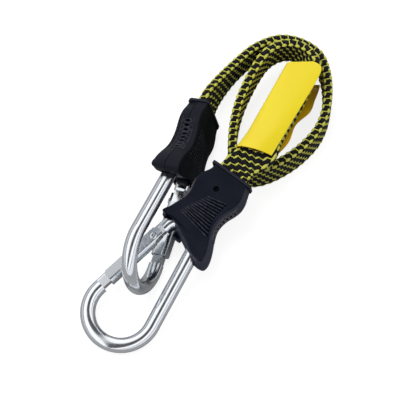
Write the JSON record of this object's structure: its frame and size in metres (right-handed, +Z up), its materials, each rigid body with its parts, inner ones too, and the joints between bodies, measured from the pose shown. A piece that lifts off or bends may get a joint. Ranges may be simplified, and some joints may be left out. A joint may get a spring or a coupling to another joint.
{
  "type": "bungee cord",
  "caption": "Flat woven elastic bungee cord lying in a loop, with a moulded black handle and a steel snap hook at each end, the hooks clipped through each other, and a folded yellow tag.",
  "frame": {"origin": "On the surface that the cord lies on, under the middle of the box round the two linked hooks and handles.", "axes": "+Z is up. The hooks lie towards -Y and the loop of the band towards +Y. The front handle shows its face upwards and the rear handle stands on its edges."},
  "size_m": [0.1313, 0.1812, 0.0408],
  "materials": {
    "zinc_steel": "bright zinc plated",
    "clamp_steel": "plain spring steel",
    "black_nylon": "satin moulded",
    "black_rubber": "matte moulded",
    "woven_yarn": "woven black yarn with yellow-green yarns",
    "latex_rubber": "plain latex strands",
    "yellow_sheet": "glossy coated sheet"
  },
  "bodies": {
    "cord_and_ends": {"front_handle_face_shell": "black_nylon", "front_handle_back_shell": "black_nylon", "front_handle_collar": "black_rubber", "front_band_clamp": "clamp_steel", "front_band_pin": "clamp_steel", "front_hook_rod": "zinc_steel", "front_gate_rivet": "zinc_steel", "rear_handle_face_shell": "black_nylon", "rear_handle_back_shell": "black_nylon", "rear_handle_collar": "black_rubber", "rear_band_clamp": "clamp_steel", "rear_band_pin": "clamp_steel", "rear_hook_rod": "zinc_steel", "rear_gate_rivet": "zinc_steel", "band_sleeve": "woven_yarn", "band_core": "latex_rubber", "yellow_tag": "yellow_sheet"},
    "front_gate": {"front_gate": "zinc_steel", "front_gate_spring": "clamp_steel"},
    "rear_gate": {"rear_gate": "zinc_steel", "rear_gate_spring": "clamp_steel"}
  },
  "joints": [
    {"name": "front_gate_hinge", "type": "hinge", "parent": "cord_and_ends", "child": "front_gate", "pos_m": [-0.00648, -0.01001, 0.01722], "axis": [-0.074, -0.1933, 0.9783], "range_deg": [0, 14], "stiffness_Nm_per_rad": 0.08, "springref_deg": -17.19},
    {"name": "rear_gate_hinge", "type": "hinge", "parent": "cord_and_ends", "child": "rear_gate", "pos_m": [0.00514, 0.01551, 0.00727], "axis": [-0.9092, 0.3066, -0.2815], "range_deg": [0, 8], "stiffness_Nm_per_rad": 0.08, "springref_deg": -17.19}
  ]
}
